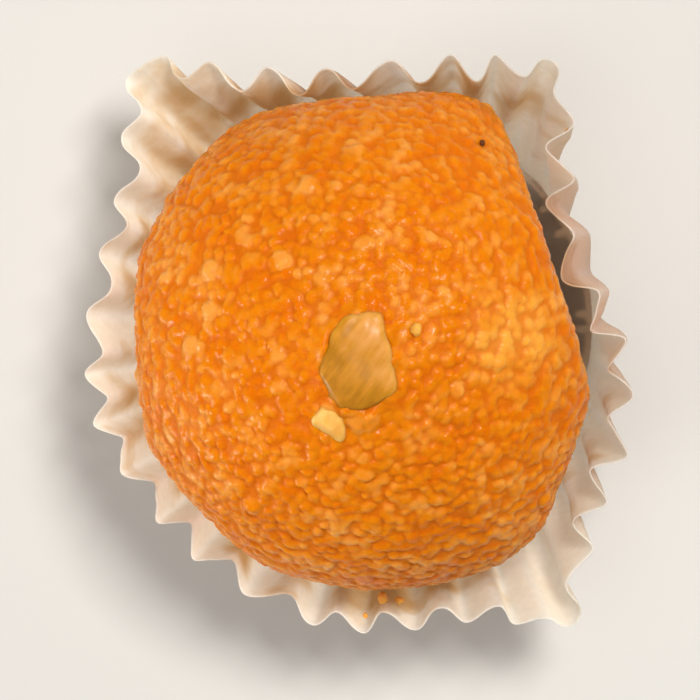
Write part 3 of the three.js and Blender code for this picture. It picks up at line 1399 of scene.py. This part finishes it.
    def _wave(self, turn: Array) -> Array:
        """Gives how far out each turn lies in its flute.

        Args:
            turn: from 0 to 1 round the case, for each point.

        Returns:
            From about -1 to 1 for each point. The folds between are crisper in some places, and lean over.
        """
        around = turn * math.tau
        drift = sum(size * np.sin(around * times + shift) for size, times, shift in self.drifts)
        phase = math.tau * (turn * self.flutes + drift)
        crisp = np.interp(turn, *zip(*self.crispness), period=1)
        size, times, shift = self.lean
        lean = size * np.sin(around * times + shift)
        return (np.cos(phase) + crisp * np.cos(3 * phase) + lean * np.sin(2 * phase)) / (1 + crisp)

    def _calm(self, turn: Array) -> Array:
        """Gives how much of its flutes each turn keeps, as handling and creased corners pull them flat.

        Args:
            turn: from 0 to 1 round the case, for each point.

        Returns:
            From about 0.4 to 1 for each point.
        """
        azimuth = self._rim_azimuth(turn)
        calm = np.interp(turn, *zip(*self.depths), period=1)
        for bend in self.bends:
            if bend.profile is BendProfile.CREASED:
                calm -= self.corner_calm * np.exp(-((bend.apart(azimuth) / self.corner_width) ** 2))
        return calm

    def pressed(self, turn: Array, along: Array) -> Array:
        """Gives the fluted wall, where the flutes take up the paper that a smooth wall has no room for.

        Args:
            turn: from 0 to 1 round the case, for each point.
            along: how far up the paper each point is.

        Returns:
            A row for each point, in the frame.
        """
        quarter = 0.25 / self.flutes
        across = self._smooth_wall(turn + quarter / 2, along) - self._smooth_wall(turn - quarter / 2, along)
        step = 0.4
        upwards = self._smooth_wall(turn, along + step) - self._smooth_wall(turn, along - step)
        outwards = unit(np.cross(across, upwards))
        paper = math.tau * (self.base_radius + along) * quarter
        depth = self.fullness * np.sqrt(np.maximum(paper**2 - (across**2).sum(axis=1), 0))
        strength = 1 - self.uneven * np.random.default_rng(self.seed).random(self.flutes)
        closed = np.append(strength, strength[0])
        seamless = np.interp(turn * self.flutes, np.arange(self.flutes + 1), closed)
        lifted = depth * self._wave(turn) * seamless * self._calm(turn)
        wall = self._smooth_wall(turn, along)
        # The base keeps the foot of the wall round, so the crumples grow above it.
        grown = np.clip(along / self.crumples_full_at, 0, 1)
        crumpled = sum(height * grown * ripple(wall, pitch, shift) for height, pitch, shift in self.crumples)
        rest = CASE_AXIS + np.array([0, 0, self.thickness / 2])
        return wall + outwards * (lifted + crumpled)[:, None] + rest


# ---- the studio ----


@dataclass(frozen=True)
class SoftBox:
    """A square soft box that faces the ladoo: its direction and distance, its side and its watts."""

    name: str
    azimuth: float
    elevation: float
    distance: float
    width: float
    power: float
    colour: str = "#FFFCF8"
    aim_height: float = 20.0

    def hang(self) -> None:
        """Hangs the soft box in its place, turned to the ladoo."""
        lamp = bpy.data.lights.new(self.name, "AREA")
        lamp.size = self.width * MM
        lamp.energy = self.power
        lamp.color = linear(self.colour)[:3]
        holder = bpy.data.objects.new(self.name, lamp)
        bpy.context.scene.collection.objects.link(holder)
        towards = Vector(direction(self.azimuth, self.elevation))
        holder.location = (towards * self.distance + Vector((0, 0, self.aim_height))) * MM
        holder.rotation_euler = towards.to_track_quat("Z", "Y").to_euler()


@dataclass
class Studio:
    """The floor, the lights and the camera."""

    lights: tuple[SoftBox, ...] = (
        SoftBox("key", 46, 64, 620, 140, 3.5),
        SoftBox("overhead", 200, 82, 650, 300, 0.45),
        SoftBox("left", 204, 6, 700, 260, 3.5),
        SoftBox("back", 100, 60, 700, 300, 0.15),
    )
    sky_colour: str = "#F7F6F4"
    sky_strength: float = 0.35
    floor_width: float = 4000.0
    distance: float = 400.0
    elevation: float = 81.5
    azimuth: float = 33.5
    field_of_view: float = 8.6
    aim: tuple[float, float, float] = (-0.6, -0.4, 19.0)

    def build(self) -> None:
        """Lays the floor, hangs the lights and sets the camera."""
        floor = add_primitive(bpy.ops.mesh.primitive_plane_add, size=self.floor_width * MM)
        finish_piece(floor, "floor", PaintedBoard().material())
        for light in self.lights:
            light.hang()
        world = bpy.data.worlds.new("studio")
        world.use_nodes = True
        sky = world.node_tree.nodes["Background"].inputs
        sky["Color"].default_value = linear(self.sky_colour)
        sky["Strength"].default_value = self.sky_strength
        bpy.context.scene.world = world
        bpy.context.scene.view_settings.view_transform = "Standard"
        self._set_camera()

    def _set_camera(self) -> None:
        """Sets the camera above the ladoo, with +Y up in its picture."""
        back = Vector(direction(self.azimuth, self.elevation))
        upright = (Vector((0, 1, 0)) - back * back.y).normalized()
        sideways = upright.cross(back)
        lens = bpy.data.cameras.new("camera")
        lens.angle = math.radians(self.field_of_view)
        lens.clip_start = 0.01
        camera = bpy.data.objects.new("camera", lens)
        bpy.context.scene.collection.objects.link(camera)
        turn = Matrix((sideways, upright, back)).transposed().to_4x4()
        camera.matrix_world = Matrix.Translation((Vector(self.aim) + back * self.distance) * MM) @ turn
        bpy.context.scene.camera = camera


# ---- the whole ----


@dataclass(frozen=True)
class Crumb:
    """A crumb in the case: where round it from 0 to 1, how far up its wall, and half the crumb's length."""

    turn: float
    along: float
    size: float


@dataclass
class PaperCasedLadoo:
    """The ladoo in its case, with all that lies on it."""

    form: RolledForm = RolledForm()
    case: PaperCase = field(default_factory=PaperCase)
    speck_towards: tuple[float, float] = (58.0, 20.0)
    speck_size: float = 0.3
    speck_sunk: float = 0.08
    crumbs: tuple[Crumb, ...] = (
        Crumb(0.748, 18.3, 0.55),
        Crumb(0.757, 16.8, 0.4),
        Crumb(0.738, 17.6, 0.3),
        Crumb(0.12, 16.5, 0.3),
    )
    crumb_lift: float = 0.9
    crumb_tones: tuple[float, float] = (0.3, 0.8)
    seed: int = 22

    def build(self) -> None:
        """Builds each piece and puts it on the frame."""
        boondi = SyrupyBoondi()
        nut = NutPiece(self.form)
        ball = BoondiBall(self.form).build(boondi, nut)
        self._hand_over(ball, "boondi", "ladoo")
        cashew = SyrupSoakedNut("#AC7002", "#C68414", "#DA9946")
        self._hand_over(nut.build(cashew), "nut", "nut_piece")
        pale = SyrupSoakedNut("#E19A3A", "#EBAA4E", "#F2C070")
        self._hand_over(NutChips(self.form).build(pale), "nut")
        self._hand_over(self.case.build(GreaseproofPaper(), self.form), "greaseproof_paper", "paper_case")
        speck = [Bit(self._on_ball(direction(*self.speck_towards), -self.speck_sunk), self.speck_size)]
        self._hand_over(LooseBits("cardamom_speck").build(speck, CardamomSeed().material()), "nut")
        # The crumbs have a paler, yellower boondi colour than the ball.
        crumb = SyrupyBoondi(pale_pearl="#FFC868", light_reach=0.25).material("paler_boondi_crumb")
        crumbs = LooseBits("boondi_crumbs", roughness=0.5, pale=0.8).build(self._lay_crumbs(), crumb)
        self._hand_over(crumbs, "boondi")

    def _on_ball(self, towards: Array, proud: float) -> tuple[float, float, float]:
        """Gives a place on the ball's skin.

        Args:
            towards: the unit vector from the ball's centre to it.
            proud: how far out of the skin it is.

        Returns:
            The place, in the frame.
        """
        reach = self.form.reach(towards[None, :])[0] + proud
        return tuple(BALL_CENTRE + reach * towards)

    def _lay_crumbs(self) -> list[Bit]:
        """Lays the crumbs against the wall of the case.

        Returns:
            A bit for each crumb.
        """
        rng = np.random.default_rng(self.seed)
        bits = []
        for crumb in self.crumbs:
            wall = self.case.pressed(np.array([crumb.turn]), np.array([crumb.along]))[0]
            inwards = unit(BALL_CENTRE - wall)
            spot = wall + self.crumb_lift * crumb.size * inwards
            bits.append(Bit(tuple(spot), crumb.size, rng.uniform(*self.crumb_tones)))
        return bits

    def _hand_over(self, piece: bpy.types.Object, slot: str, *nodes: str) -> None:
        """Puts a finished piece on the frame and logs it.

        Args:
            piece: the finished piece.
            slot: a material slot's name. It is not used.
            nodes: the CAD nodes that it stands for.
        """
        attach(piece, "root")
        if nodes:
            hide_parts(*nodes)
        piece.data.calc_loop_triangles()
        LOG.info("%s: %d triangles", piece.name, len(piece.data.loop_triangles))


def main() -> None:
    """Builds the ladoo and its studio on the CAD frame."""
    logging.basicConfig(level=logging.INFO, format="%(name)s: %(message)s")
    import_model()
    PaperCasedLadoo().build()
    Studio().build()


if __name__ == "__main__":
    main()
